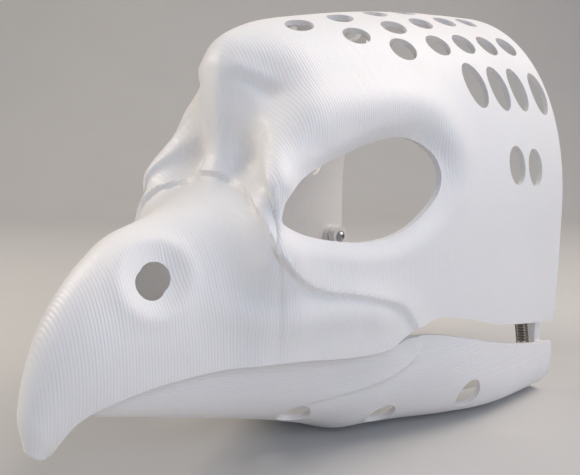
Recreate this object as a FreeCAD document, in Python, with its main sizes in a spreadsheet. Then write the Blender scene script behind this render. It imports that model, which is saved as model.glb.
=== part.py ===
import FreeCAD, Part
import math
import os
import Sketcher

from FreeCAD import Rotation, Vector

# Bird-head mask: an upper shell (cranium and hooked upper beak), a lower jaw that swings on two
# screws inside the rear of the shell, and two extension springs that pull the jaw shut.
# +Z up, beak towards -Y, wearer's left towards +X.  The origin is under the middle of the mask,
# on the level of the jaw's flat underside.

doc = FreeCAD.newDocument("bird_mask")
sheet = doc.addObject("Spreadsheet::Sheet", "Sizes")

SIZES = [
    ("mask_length", 315.0),       # rear rim to the front of the beak
    ("mask_width", 188.0),        # across the rear rim
    ("mask_height", 251.0),       # jaw underside to the crown
    ("wall", 3.0),                # printed wall of both shells
    ("vent_width", 17.0),         # vents, measured along the mask
    ("nostril_width", 13.0),
    ("nostril_height", 15.0),
    ("neck_width", 124.0),        # notch for the throat in the jaw's floor
    ("neck_depth", 78.0),
    ("pivot_back", 16.0),         # pivot axis, forward of the rear rim
    ("pivot_level", 88.0),        # pivot axis, above the jaw's underside
    ("pivot_screw_diameter", 4.0),
    ("pivot_head_diameter", 7.6),
    ("pivot_head_height", 2.2),
    ("pivot_socket", 2.5),
    ("pivot_running_gap", 0.05),  # between screw and bush, on the radius
    ("side_gap", 0.15),           # between the arm and the washer on each side of it
    ("bush_diameter", 6.0),
    ("washer_diameter", 9.0),
    ("washer_thickness", 0.8),
    ("pivot_insert_diameter", 5.6),
    ("pivot_insert_length", 6.0),
    ("pivot_boss_diameter", 16.0),
    ("pivot_boss_reach", 5.0),    # how far the boss stands in from the wall's inner face
    ("arm_thickness", 6.0),
    ("arm_width", 8.0),
    ("arm_foot_back", 5.0),       # middle of the arm's foot, forward of the rear rim
    ("arm_head_diameter", 16.0),
    ("post_screw_diameter", 3.0),
    ("post_head_diameter", 5.7),
    ("post_head_height", 1.65),
    ("post_socket", 2.0),
    ("post_clear_length", 4.0),   # bare shank between the head and the boss
    ("post_insert_diameter", 4.6),
    ("post_insert_length", 4.5),
    ("post_boss_diameter", 10.0),
    ("upper_post_back", 31.0),    # upper spring post, forward of the rear rim
    ("upper_post_level", 76.0),
    ("lower_post_back", 17.0),
    ("lower_post_level", 27.0),
    ("spring_diameter", 8.0),
    ("spring_wire", 1.1),
    ("spring_pitch", 2.0),
    ("hook_clearance", 0.15),
]
for row, (alias, value) in enumerate(SIZES, start=1):
    sheet.set("A%d" % row, alias)
    sheet.set("B%d" % row, str(value))
    sheet.setAlias("B%d" % row, alias)
doc.recompute()


def size(alias):
    """The value of one cell of the sheet."""
    return float(getattr(sheet, alias))


# Sections of the upper shell, each an oval in a plane of its own that leans with the profile.
# Crest and foot are given as (distance forward of the rear rim, level) on a mask 315 long and
# 251 high; half width is on a mask 188 wide.  "seat" is where the oval is widest, as a share of
# the way from foot to crest; the exponents make it rounder (2) or squarer (more) above and below.
DESIGN_LENGTH = 315.0
DESIGN_WIDTH = 188.0
DESIGN_HEIGHT = 251.0
SHELL_SECTIONS = [
    # crest        foot        half   seat  above below
    (0, 251, 0, -6, 94, 0.48, 2.22, 5.0),
    (50, 248, 50, -6, 93.5, 0.47, 2.20, 5.0),
    (100, 243, 100, -4, 88, 0.46, 2.15, 4.0),
    (145, 236, 145, 0, 79, 0.44, 2.10, 3.4),
    (182, 228, 178, 5, 70, 0.42, 2.10, 3.0),
    (203, 217, 196, 8, 63, 0.42, 2.10, 3.0),
    (210, 203, 206, 12, 60, 0.42, 2.10, 3.0),
    (211, 185, 213, 14, 57.5, 0.42, 2.10, 3.0),
    (209, 166, 220, 17, 55, 0.42, 2.60, 3.0),
    (213, 150, 227, 20, 52, 0.42, 3.10, 3.0),
    (228, 138, 238, 23, 43, 0.42, 2.60, 3.0),
    (248, 131, 250, 26, 36, 0.43, 2.10, 3.0),
    (266, 125, 262, 28, 30, 0.45, 2.10, 3.0),
    (282, 114, 273, 30, 25, 0.46, 2.10, 2.6),
    (295, 100, 282, 31, 20.5, 0.48, 2.10, 2.4),
    (306, 82, 291, 31, 15, 0.50, 2.10, 2.0),
    (313, 62, 298, 30, 10.5, 0.50, 2.10, 2.0),
    (315, 48, 302, 29.5, 7.5, 0.50, 2.10, 2.0),
    (312.5, 36, 306, 29.5, 4.5, 0.50, 2.10, 2.0),
]
SOLID_HALF_WIDTH = 12.0           # the hook is solid where it is narrower than this
# Sections of the jaw, each upright: distance forward, underside, half width, level where it is
# widest, exponent of the lower corners.
JAW_SECTIONS = [
    (0, -0.5, 93, 70, 9.0),
    (50, -0.5, 91, 70, 7.5),
    (90, -0.5, 87, 70, 4.6),
    (120, -0.5, 80, 70, 3.2),
    (148, -0.3, 71.5, 68, 2.6),
    (168, 7, 62, 66, 2.5),
    (200, 18.5, 49, 62, 2.4),
    (235, 29, 34, 60, 2.4),
    (262, 37, 22, 58, 2.3),
    (280, 42, 12, 57, 2.2),
    (287, 45, 6, 56, 2.0),
]
# Lower edge of the shell and upper edge of the jaw, as (distance forward, level).
SHELL_EDGE = [
    (0, 49), (21, 52), (70, 60.5), (100, 69), (123, 73.5), (137, 71), (147, 66.5), (157, 61.5),
    (180, 61.5), (206, 64), (226, 64), (247, 62.5), (268, 59), (280, 55.5), (290, 51.5),
    (297, 46), (302, 38), (305, 30),
]
JAW_EDGE = [
    (0, 34.5), (20, 37.5), (65, 47.5), (95, 56), (120, 62.5), (138, 64), (147, 61.5),
    (158, 64), (180, 68), (210, 69), (240, 67), (265, 61), (280, 54.5), (288, 51),
]
# Eye opening on the side of the head, as (distance forward, level).
EYE_OUTLINE = [
    (209.5, 133), (202, 145.5), (178, 157), (148, 166), (131, 167), (122, 158), (122.5, 144),
    (133, 131), (150, 120.5), (172, 118), (195, 122), (206.5, 127.5),
]
EYE_INNER_LIMIT = 41              # the opening is cut outwards from here
# Rows of vents: degrees round the oval from the crest at the rearmost and the foremost vent, the
# length of a vent measured down the side, and each vent's distance forward.
VENT_ROWS = [
    (11.0, 16.8, 19.0, (45, 75, 105.5, 136.5, 167)),
    (22.5, 28.2, 20.0, (30, 57, 83, 111, 141.5)),
    (37.5, 37.0, 23.0, (18, 42, 66, 89.5, 118.5)),
    (55.0, 51.5, 29.0, (13, 35, 56, 77)),
    (75.0, 73.0, 23.0, (35, 58)),
]
# Vents low on the jaw: distance forward and degrees round from the bottom.
JAW_VENTS = [(88, 54.0), (140, 46.0), (188, 42.0)]
NOSTRIL = (263, 105.5)
NOSTRIL_REACH = 16                # half the length of the nostril's cutter
ARM_FOOT_TOP = 34                 # level up to which the arm's foot is joined to the jaw's wall
ARM_BEND = 50                     # level where the arm turns forward to the pivot
RING_POINTS = 40
RING_SPACING = 8.0


def forward(distance):
    """Y of a point given by its distance forward of the rear rim, on the design mask."""
    return size("mask_length") * (0.5 - distance / DESIGN_LENGTH)


def level(z):
    return z * size("mask_height") / DESIGN_HEIGHT


def across(x):
    return x * size("mask_width") / DESIGN_WIDTH


def oval(angle, exponent):
    """Unit oval in the direction of the angle: (sideways, upwards)."""
    side = math.sin(angle)
    up = math.cos(angle)
    radius = (abs(side) ** exponent + abs(up) ** exponent) ** (-1.0 / exponent)
    return radius * side, radius * up


def shell_point(section, angle):
    """A point of the shell's outer oval; angle runs from the crest round to the foot."""
    crest_d, crest_z, foot_d, foot_z, half, seat, above, below = section
    upper = math.cos(angle) >= 0
    sideways, upwards = oval(angle, above if upper else below)
    rise = seat + upwards * ((1 - seat) if upper else seat)
    return Vector(
        across(half * sideways),
        forward(foot_d + (crest_d - foot_d) * rise),
        level(foot_z + (crest_z - foot_z) * rise),
    )


def jaw_point(section, angle):
    """A point of the jaw's outer oval; the angle is the same as in shell_point."""
    distance, bottom, half, widest, exponent = section
    sideways, upwards = oval(angle, exponent)
    return Vector(
        across(half * sideways),
        forward(distance),
        level(widest + (widest - bottom) * upwards),
    )


def slopes(values):
    """Slope at each entry of an evenly spaced list, such that the curve never overshoots."""
    steps = [b - a for a, b in zip(values, values[1:])]
    middle = []
    for left, right in zip(steps, steps[1:]):
        middle.append(2 * left * right / (left + right) if left * right > 0 else 0.0)
    return [steps[0]] + middle + [steps[-1]]


def smooth_row(sections, tangents, place):
    """The section at a place between the listed ones; each column is a smooth curve."""
    i = min(int(place), len(sections) - 2)
    t = place - i
    blend = (2 * t**3 - 3 * t**2 + 1, t**3 - 2 * t**2 + t, 3 * t**2 - 2 * t**3, t**3 - t**2)
    row = []
    for column in range(len(sections[0])):
        ends = (
            sections[i][column], tangents[column][i],
            sections[i + 1][column], tangents[column][i + 1],
        )
        row.append(sum(a * b for a, b in zip(blend, ends)))
    return row


def smooth_sections(sections, spacing):
    """Sections at even steps of about the given length, measured at mid-height."""
    tangents = [slopes(column) for column in zip(*sections)]
    fine = [smooth_row(sections, tangents, k / 20.0) for k in range(20 * len(sections) - 19)]
    travelled = [0.0]
    for a, b in zip(fine, fine[1:]):
        travelled.append(travelled[-1] + math.dist(a[:4], b[:4]) / math.sqrt(2))
    count = max(4, round(travelled[-1] / spacing))
    rows = []
    k = 0
    for step in range(count):
        while travelled[k + 1] < travelled[-1] * step / count:
            k += 1
        share = (travelled[-1] * step / count - travelled[k]) / (travelled[k + 1] - travelled[k])
        rows.append([a + (b - a) * share for a, b in zip(fine[k], fine[k + 1])])
    return rows + [fine[-1]]


def outer_rings(sections, point):
    """Rows of points, one row round each section."""
    turn = 2 * math.pi / RING_POINTS
    return [[point(s, turn * (k + 0.5)) for k in range(RING_POINTS)] for s in sections]


def inward_rings(rings, depth):
    """The same rows moved into the wall, square to the surface."""
    moved = []
    for i, ring in enumerate(rings):
        before = rings[max(i - 1, 0)]
        after = rings[min(i + 1, len(rings) - 1)]
        row = []
        for k, here in enumerate(ring):
            along = after[k] - before[k]
            round_it = ring[(k + 1) % RING_POINTS] - ring[k - 1]
            normal = along.cross(round_it).normalize()
            row.append(here - normal * depth)
        moved.append(row)
    return moved


def ring_wire(points):
    """A closed smooth wire; every ring has the same spacing of parameters."""
    curve = Part.BSplineCurve()
    spacing = [k / float(len(points)) for k in range(len(points) + 1)]
    curve.interpolate(Points=points, PeriodicFlag=True, Parameters=spacing)
    return Part.Wire([curve.toShape()])


def flatten(ring):
    """The ring pressed onto its own middle plane across the mask, so that it can be a lid."""
    y = sum(p.y for p in ring) / len(ring)
    return [Vector(p.x, y, p.z) for p in ring]


def rearward(ring, distance):
    return [Vector(p.x, p.y + distance, p.z) for p in ring]


def lofted(rings):
    return Part.makeLoft([ring_wire(ring) for ring in rings], True, False)


def hollow(sections, point, half_column):
    """A closed shell, open only at the rear rim."""
    rings = outer_rings(sections, point)
    hollow_count = sum(1 for s in sections if s[half_column] > SOLID_HALF_WIDTH)
    inner = inward_rings(rings, size("wall"))[:hollow_count]
    inner[0] = flatten(inner[0])
    inner[-1] = flatten(inner[-1])
    rear_overrun = rearward(inner[0], 10.0)
    return lofted(rings).cut(lofted([rear_overrun] + inner))


def edge_prism(edge, beyond):
    """Everything beyond an edge line (below the shell, or above the jaw), right across."""
    points = [Vector(0, forward(d), level(z)) for d, z in edge]
    first = points[0] + Vector(0, 30, 0)
    last = points[-1]
    curve = Part.BSplineCurve()
    curve.interpolate(Points=points)
    # above the jaw the cut goes on past its front end; below the shell it spares the hook
    front_y = last.y if beyond < last.z else last.y - 60
    corners = [last, Vector(0, front_y, last.z), Vector(0, front_y, beyond)]
    corners = [c for k, c in enumerate(corners) if k != 1 or front_y != last.y]
    corners += [Vector(0, first.y, beyond), first, points[0]]
    sides = [Part.LineSegment(a, b).toShape() for a, b in zip(corners, corners[1:])]
    face = Part.Face(Part.Wire([curve.toShape()] + sides))
    span = size("mask_width")
    face.translate(Vector(-span, 0, 0))
    return face.extrude(Vector(2 * span, 0, 0))


def oval_cutter(centre, normal, along, length, width, reach):
    """A straight oval plug through a wall; its length lies along the given direction."""
    normal = Vector(normal).normalize()
    long_axis = Vector(along - normal * along.dot(normal)).normalize()
    short_axis = normal.cross(long_axis)
    if length < width:
        length, width = width, length
        long_axis, short_axis = short_axis, -long_axis
    start = centre - normal * reach
    oval = Part.Ellipse(start + long_axis * length / 2, start + short_axis * width / 2, start)
    return Part.Face(Part.Wire([oval.toShape()])).extrude(normal * 2 * reach)


def surface_frame(sections, point, distance, angle):
    """Point, outward normal and the direction round the oval, between two sections."""
    step = 0.02
    spots = [s[0] for s in sections]
    i = next(k for k in range(len(spots) - 1) if spots[k + 1] > distance)
    share = (distance - spots[i]) / float(spots[i + 1] - spots[i])

    def at(t, a):
        near = point(sections[i], a)
        far = point(sections[i + 1], a)
        return near + (far - near) * t

    here = at(share, angle)
    along = at(share + step, angle) - at(share - step, angle)
    round_it = at(share, angle + step) - at(share, angle - step)
    return here, along.cross(round_it).normalize(), round_it.normalize()


def both_sides(shape):
    mirrored = shape.mirror(Vector(0, 0, 0), Vector(1, 0, 0))
    return [shape, mirrored]


SHELL_ROWS = smooth_sections(SHELL_SECTIONS, RING_SPACING)
JAW_ROWS = smooth_sections(JAW_SECTIONS, RING_SPACING)


def vent_cutters():
    """Plugs for the rows of vents in the cranium, left and right."""
    cutters = []
    reach = 6 * size("wall")
    for rear_degrees, front_degrees, length, distances in VENT_ROWS:
        for k, distance in enumerate(distances):
            share = k / float(len(distances) - 1)
            angle = math.radians(rear_degrees + (front_degrees - rear_degrees) * share)
            here, normal, down = surface_frame(SHELL_ROWS, shell_point, distance, angle)
            plug = oval_cutter(here, normal, down, length, size("vent_width"), reach)
            cutters += both_sides(plug)
    return cutters


def jaw_vent_cutters():
    cutters = []
    for distance, degrees in JAW_VENTS:
        angle = math.pi - math.radians(degrees)
        here, normal, down = surface_frame(JAW_ROWS, jaw_point, distance, angle)
        width = size("vent_width")
        cutters += both_sides(oval_cutter(here, normal, down, 1.2 * width, width, 4 * size("wall")))
    return cutters


def eye_cutters():
    points = [Vector(0, forward(d), level(z)) for d, z in EYE_OUTLINE]
    curve = Part.BSplineCurve()
    curve.interpolate(Points=points, PeriodicFlag=True)
    face = Part.Face(Part.Wire([curve.toShape()]))
    face.translate(Vector(across(EYE_INNER_LIMIT), 0, 0))
    return both_sides(face.extrude(Vector(size("mask_width"), 0, 0)))


def nostril_cutters():
    distance, z = NOSTRIL
    section = min(SHELL_ROWS, key=lambda row: abs(row[0] - distance))
    turns = [math.radians(a) for a in range(30, 100)]
    angle = min(turns, key=lambda a: abs(shell_point(section, a).z - level(z)))
    here, normal, down = surface_frame(SHELL_ROWS, shell_point, distance, angle)
    plug = oval_cutter(
        here, normal, down, size("nostril_height"), size("nostril_width"), across(NOSTRIL_REACH)
    )
    return both_sides(plug)


def neck_notch():
    """Room for the throat: a round-ended notch in the jaw's floor, open to the rear."""
    half = size("neck_width") / 2
    depth = size("neck_depth")
    rear = forward(0)
    low = -size("wall")
    top = size("pivot_level")
    box = Part.makeBox(
        2 * half, depth - half + 20, top - low, Vector(-half, rear - depth + half, low)
    )
    nose = Part.makeCylinder(half, top - low, Vector(0, rear - depth + half, low))
    return box.fuse(nose)


def rest_plane():
    """Everything below the flat that the jaw stands on."""
    span = size("mask_length")
    return Part.makeBox(2 * span, 2 * span, span, Vector(-span, -span, -span))


# Where the hinge and the spring posts sit.  Their places across the mask follow the wall.
def wall_inside(sections, point, distance, z):
    """X of the wall's inner face at a place on the side."""
    angles = [math.radians(a) for a in range(60, 150)]
    spots = [surface_frame(sections, point, distance, a)[0] for a in angles]
    return min(spots, key=lambda p: abs(p.z - z)).x - size("wall")


def rim_place(back, z):
    """(Y, Z) of a place given in real millimetres forward of the rear rim."""
    return forward(0) - back, z


def design_distance(back):
    return back * DESIGN_LENGTH / size("mask_length")


pivot_y, pivot_z = rim_place(size("pivot_back"), size("pivot_level"))
upper_y, upper_z = rim_place(size("upper_post_back"), size("upper_post_level"))
lower_y, lower_z = rim_place(size("lower_post_back"), size("lower_post_level"))
pivot_wall_x = wall_inside(
    SHELL_ROWS, shell_point, design_distance(size("pivot_back")), pivot_z
)
upper_wall_x = wall_inside(
    SHELL_ROWS, shell_point, design_distance(size("upper_post_back")), upper_z
)
lower_wall_x = wall_inside(
    JAW_ROWS, jaw_point, design_distance(size("lower_post_back")), lower_z
)
boss_face_x = pivot_wall_x - size("pivot_boss_reach")
outer_washer_x = boss_face_x - size("washer_thickness")
arm_outer_x = outer_washer_x - size("side_gap")
arm_inner_x = arm_outer_x - size("arm_thickness")
inner_washer_x = arm_inner_x - size("side_gap") - size("washer_thickness")
# the spring hangs in front of the arm, in the arm's own plane
spring_x = (arm_outer_x + arm_inner_x) / 2
post_face_x = spring_x + size("post_clear_length") / 2
post_head_x = spring_x - size("post_clear_length") / 2


def add_cells():
    """Places that the bosses share go to the sheet as well, so that they can be bound."""
    places = [
        ("pivot_y", pivot_y),
        ("upper_y", upper_y),
        ("lower_y", lower_y),
        ("boss_face_x", boss_face_x),
        ("post_face_x", post_face_x),
        ("bush_bore_x", arm_inner_x - size("arm_thickness") / 2),
        ("bush_bore_length", 2 * size("arm_thickness")),
        ("pivot_boss_length", pivot_wall_x + size("wall") / 2 - boss_face_x),
        ("upper_boss_length", upper_wall_x + size("wall") / 2 - post_face_x),
        ("lower_boss_length", lower_wall_x + size("wall") / 2 - post_face_x),
    ]
    for row, (alias, value) in enumerate(places, start=len(SIZES) + 2):
        sheet.set("A%d" % row, alias)
        sheet.set("B%d" % row, repr(value))
        sheet.setAlias("B%d" % row, alias)
    doc.recompute()


add_cells()


def across_cylinder(name, side, diameter, length, face, y_cell, z_cell):
    """A cylinder along X, outward from the given face on one side of the mask."""
    cylinder = doc.addObject("Part::Cylinder", name)
    cylinder.setExpression("Radius", "Sizes.%s / 2" % diameter)
    cylinder.setExpression("Height", "Sizes.%s" % length)
    cylinder.setExpression("Placement.Base.x", "%d * Sizes.%s" % (side, face))
    cylinder.setExpression("Placement.Base.y", "Sizes.%s" % y_cell)
    cylinder.setExpression("Placement.Base.z", "Sizes.%s" % z_cell)
    cylinder.Placement.Rotation = Rotation(Vector(0, 1, 0), 90 * side)
    return cylinder


def feature(name, shape):
    made = doc.addObject("Part::Feature", name)
    made.Shape = shape
    return made


def joined(name, base, additions, cuts):
    """base with bosses added and their bores cut, as one sub-part."""
    whole = doc.addObject("Part::MultiFuse", name + "_with_bosses")
    whole.Shapes = [base] + additions
    whole.Refine = False
    bores = doc.addObject("Part::MultiFuse", name + "_bores")
    bores.Shapes = cuts
    bores.Refine = False
    result = doc.addObject("Part::Cut", name)
    result.Base = whole
    result.Tool = bores
    result.Refine = False
    result.Label = name
    return result


SIDES = [("left", 1), ("right", -1)]


def make_upper_shell():
    skin = hollow(SHELL_ROWS, shell_point, 4)
    skin = skin.cut(edge_prism(SHELL_EDGE, -60.0))
    skin = skin.cut(Part.makeCompound(eye_cutters() + nostril_cutters()))
    skin = skin.cut(Part.makeCompound(vent_cutters()))
    base = feature("upper_skin", skin.Solids[0])
    bosses = []
    bores = []
    for name, side in SIDES:
        bosses.append(across_cylinder(
            name + "_pivot_boss", side, "pivot_boss_diameter", "pivot_boss_length",
            "boss_face_x", "pivot_y", "pivot_level"))
        bosses.append(across_cylinder(
            name + "_upper_post_boss", side, "post_boss_diameter", "upper_boss_length",
            "post_face_x", "upper_y", "upper_post_level"))
        bores.append(across_cylinder(
            name + "_pivot_insert_bore", side, "pivot_insert_diameter", "pivot_insert_length",
            "boss_face_x", "pivot_y", "pivot_level"))
        bores.append(across_cylinder(
            name + "_upper_insert_bore", side, "post_insert_diameter", "post_insert_length",
            "post_face_x", "upper_y", "upper_post_level"))
    return joined("upper_shell", base, bosses, bores)


def arm_plate(side):
    """The jaw's arm: a flat strip from a foot on the wall up and forward to a round head."""
    half = size("arm_width") / 2
    foot_y = forward(0) - size("arm_foot_back")
    foot_z = size("lower_post_level") - 8
    bend_z = level(ARM_BEND)
    head_r = size("arm_head_diameter") / 2
    outline = [
        (foot_y + half, foot_z), (foot_y - half, foot_z), (foot_y - half, bend_z),
        (pivot_y - head_r, pivot_z), (pivot_y + head_r, pivot_z), (foot_y + half, bend_z),
    ]
    points = [Vector(arm_inner_x, y, z) for y, z in outline]
    strip = Part.Face(Part.makePolygon(points + points[:1]))
    strip = strip.extrude(Vector(size("arm_thickness"), 0, 0))
    head = Part.makeCylinder(
        head_r, size("arm_thickness"), Vector(arm_inner_x, pivot_y, pivot_z), Vector(1, 0, 0))
    foot_reach = lower_wall_x + size("wall") / 2 - arm_inner_x
    foot = Part.makeBox(
        foot_reach, 2 * half, level(ARM_FOOT_TOP) - foot_z, Vector(arm_inner_x, foot_y - half, foot_z))
    plate = strip.fuse([head, foot]).removeSplitter()
    return plate if side > 0 else plate.mirror(Vector(0, 0, 0), Vector(1, 0, 0))


def make_lower_jaw():
    skin = hollow(JAW_ROWS, jaw_point, 2)
    skin = skin.cut(edge_prism(JAW_EDGE, size("mask_height")))
    skin = skin.cut(Part.makeCompound(jaw_vent_cutters()))
    skin = skin.cut(neck_notch())
    skin = skin.cut(rest_plane())
    base = feature("jaw_skin", skin.Solids[0])
    additions = []
    bores = []
    for name, side in SIDES:
        additions.append(feature(name + "_arm", arm_plate(side)))
        additions.append(across_cylinder(
            name + "_lower_post_boss", side, "post_boss_diameter", "lower_boss_length",
            "post_face_x", "lower_y", "lower_post_level"))
        bores.append(across_cylinder(
            name + "_lower_insert_bore", side, "post_insert_diameter", "post_insert_length",
            "post_face_x", "lower_y", "lower_post_level"))
        bores.append(across_cylinder(
            name + "_bush_bore", side, "bush_diameter", "bush_bore_length",
            "bush_bore_x", "pivot_y", "pivot_level"))
    return joined("lower_jaw", base, additions, bores)


def turned_body(label, profile, side, x, y, z):
    """A turned piece: profile is (axial, radial) expressions; +axial points out of the mask."""
    body = doc.addObject("PartDesign::Body", label + "_body")
    body.Label = label
    sketch = body.newObject("Sketcher::SketchObject", label + "_profile")
    plane = next(f for f in body.Origin.OriginFeatures if f.Role == "XY_Plane")
    sketch.AttachmentSupport = (plane, [""])
    sketch.MapMode = "FlatFace"
    corners = []
    for axial, radial in profile:
        corners.append((evaluated(axial), evaluated(radial)))
    count = len(corners)
    for k in range(count):
        start = Vector(corners[k][0], corners[k][1], 0)
        end = Vector(corners[(k + 1) % count][0], corners[(k + 1) % count][1], 0)
        sketch.addGeometry(Part.LineSegment(start, end), False)
    for k in range(count):
        sketch.addConstraint(Sketcher.Constraint("Coincident", k, 2, (k + 1) % count, 1))
    for k, (axial, radial) in enumerate(profile):
        pin_corner(sketch, k, "DistanceX", axial, corners[k][0], -2)
        pin_corner(sketch, k, "DistanceY", radial, corners[k][1], -1)
    turned = body.newObject("PartDesign::Revolution", label + "_turned")
    turned.Profile = sketch
    turned.ReferenceAxis = (sketch, ["H_Axis"])
    turned.Angle = 360
    sketch.Visibility = False
    doc.recompute()
    body.Placement = FreeCAD.Placement(
        Vector(side * x, y, z), Rotation(Vector(0, 0, 1), 0 if side > 0 else 180))
    return body


def evaluated(expression):
    """The number that an expression on the sheet stands for."""
    return float(sheet.evalExpression(expression.replace("Sizes.", "")))


def pin_corner(sketch, corner, kind, expression, value, axis):
    """Ties one coordinate of a corner to the sheet, or to an axis where it is zero."""
    if abs(value) < 1e-9:
        sketch.addConstraint(Sketcher.Constraint("PointOnObject", corner, 1, axis))
        return
    if value > 0:
        rule = Sketcher.Constraint(kind, -1, 1, corner, 1, value)
    else:
        rule = Sketcher.Constraint(kind, corner, 1, -1, 1, -value)
        expression = "-(%s)" % expression
    index = sketch.addConstraint(rule)
    sketch.setExpression("Constraints[%d]" % index, expression)


def socket_pocket(body, label, across_flats, depth, head_top):
    """A six-sided key socket in the head of a screw."""
    plane = next(f for f in body.Origin.OriginFeatures if f.Role == "YZ_Plane")
    sketch = body.newObject("Sketcher::SketchObject", label + "_socket")
    sketch.AttachmentSupport = (plane, [""])
    sketch.MapMode = "FlatFace"
    sketch.AttachmentOffset = FreeCAD.Placement(Vector(0, 0, head_top), Rotation())
    radius = across_flats / math.sqrt(3)
    corners = []
    for k in range(6):
        turn = math.radians(60 * k)
        corners.append(Vector(radius * math.cos(turn), radius * math.sin(turn), 0))
    for k in range(6):
        sketch.addGeometry(Part.LineSegment(corners[k], corners[(k + 1) % 6]), False)
        sketch.addConstraint(Sketcher.Constraint("Block", k))
    pocket = body.newObject("PartDesign::Pocket", label + "_key")
    pocket.Profile = sketch
    pocket.Length = depth
    doc.recompute()
    return pocket


def screw(label, side, x, y, z, kind, shank_length):
    """Button-head machine screw; its seat is at x and the shank points outwards."""
    head_r = "Sizes.%s_head_diameter / 2" % kind
    head_h = "Sizes.%s_head_height" % kind
    shank_r = "Sizes.%s_screw_diameter / 2" % kind
    profile = [
        ("0 - %s" % head_h, "0"),
        ("0 - %s" % head_h, "0.6 * " + head_r),
        ("0 - 0.45 * " + head_h, "0.93 * " + head_r),
        ("0 - 0.1 * " + head_h, head_r),
        ("0", head_r),
        ("0", shank_r),
        ("%s - 0.5" % shank_length, shank_r),
        (shank_length, shank_r + " - 0.5"),
        (shank_length, "0"),
    ]
    body = turned_body(label, profile, side, x, y, z)
    solid_volume = body.Shape.Volume
    pocket = socket_pocket(
        body, label, size(kind + "_socket"), 0.55 * size(kind + "_head_height"),
        -size(kind + "_head_height"))
    if body.Shape.Volume > solid_volume - 0.5:
        pocket.Reversed = True
        doc.recompute()
    return body


def tube(label, side, x, y, z, outer_r, inner_r, length):
    """A plain round ring or sleeve with its inner end at x."""
    profile = [("0", inner_r), ("0", outer_r), (length, outer_r), (length, inner_r)]
    return turned_body(label, profile, side, x, y, z)


def spring_shape():
    """Extension spring: close coils between two rings that hang on the posts."""
    wire_r = size("spring_wire") / 2
    coil_r = size("spring_diameter") / 2 - wire_r
    post_r = size("post_screw_diameter") / 2
    ring_r = 0.75 * coil_r + wire_r / 2
    lower = Vector(spring_x, lower_y, lower_z)
    upper = Vector(spring_x, upper_y, upper_z)
    direction = (upper - lower).normalize()
    slack = ring_r - wire_r - post_r - size("hook_clearance")
    # made upright on its lower ring, then hung between the posts
    low_ring = Vector(0, 0, 0)
    high_ring = Vector(0, 0, (upper - lower).Length - 2 * slack)
    # the coils start clear of the boss that carries the post
    neck = size("post_boss_diameter") / 2 + wire_r + 0.5 - slack - ring_r
    coil_length = high_ring.z - 2 * (ring_r + neck)
    turns = max(3, int(coil_length / size("spring_pitch")))
    helix = Part.makeHelix(coil_length / turns, coil_length, coil_r)
    start = Part.Wire([Part.Circle(
        Vector(coil_r, 0, 0), Vector(0, coil_r, coil_length / turns / (2 * math.pi)), wire_r
    ).toShape()])
    coil = Part.Wire(helix).makePipeShell([start], True, True)
    coil_foot = ring_r + neck
    coil.translate(Vector(0, 0, coil_foot))
    pieces = [coil]
    ends = [
        (low_ring, Vector(coil_r, 0, coil_foot), Vector(0, 0, 1)),
        (high_ring, Vector(coil_r, 0, coil_foot + coil_length), Vector(0, 0, -1)),
    ]
    for ring_centre, coil_end, towards in ends:
        pieces.append(Part.makeTorus(ring_r, wire_r, ring_centre, Vector(1, 0, 0)))
        on_axis = ring_centre + towards * (ring_r + neck)
        ring_top = ring_centre + towards * ring_r
        pieces.append(rod(ring_top, on_axis, wire_r))
        pieces.append(rod(on_axis, coil_end, wire_r))
        pieces.append(Part.makeSphere(wire_r, on_axis))
        pieces.append(Part.makeSphere(wire_r, coil_end))
    spring = pieces[0].fuse(pieces[1:])
    spring.Placement = FreeCAD.Placement(
        lower + direction * slack, Rotation(Vector(0, 0, 1), direction))
    return spring


def rod(start, end, radius):
    return Part.makeCylinder(radius, (end - start).Length, start, end - start)


def make_hardware():
    """Everything that is bought: screws, bushes, washers, inserts and springs."""
    made = []
    pivot_length = (
        "2 * Sizes.washer_thickness + 2 * Sizes.side_gap + Sizes.arm_thickness"
        " + Sizes.pivot_insert_length - 0.5"
    )
    post_length = "Sizes.post_clear_length + Sizes.post_insert_length - 0.5"
    shank_r = "Sizes.pivot_screw_diameter / 2"
    running_r = shank_r + " + Sizes.pivot_running_gap"
    washer_r = "Sizes.washer_diameter / 2"
    thickness = "Sizes.washer_thickness"
    spring = spring_shape()
    for name, side in SIDES:
        pivot = (pivot_y, pivot_z)
        made.append(screw(
            name + "_pivot_screw", side, inner_washer_x, *pivot, "pivot", pivot_length))
        made.append(tube(
            name + "_inner_washer", side, inner_washer_x, *pivot, washer_r, running_r, thickness))
        made.append(tube(
            name + "_outer_washer", side, outer_washer_x, *pivot, washer_r, running_r, thickness))
        made.append(tube(
            name + "_pivot_bush", side, arm_inner_x, *pivot,
            "Sizes.bush_diameter / 2", running_r, "Sizes.arm_thickness"))
        made.append(tube(
            name + "_pivot_insert", side, boss_face_x, *pivot,
            "Sizes.pivot_insert_diameter / 2", shank_r, "Sizes.pivot_insert_length"))
        for which, y, z in (("upper", upper_y, upper_z), ("lower", lower_y, lower_z)):
            made.append(screw(
                "%s_%s_spring_screw" % (name, which), side, post_head_x, y, z, "post", post_length))
            made.append(tube(
                "%s_%s_spring_insert" % (name, which), side, post_face_x, y, z,
                "Sizes.post_insert_diameter / 2", "Sizes.post_screw_diameter / 2",
                "Sizes.post_insert_length"))
        coil = spring if side > 0 else spring.mirror(Vector(0, 0, 0), Vector(1, 0, 0))
        made.append(feature(name + "_jaw_spring", coil))
    return made


subparts = [make_upper_shell(), make_lower_jaw()] + make_hardware()
doc.recompute()

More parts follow.
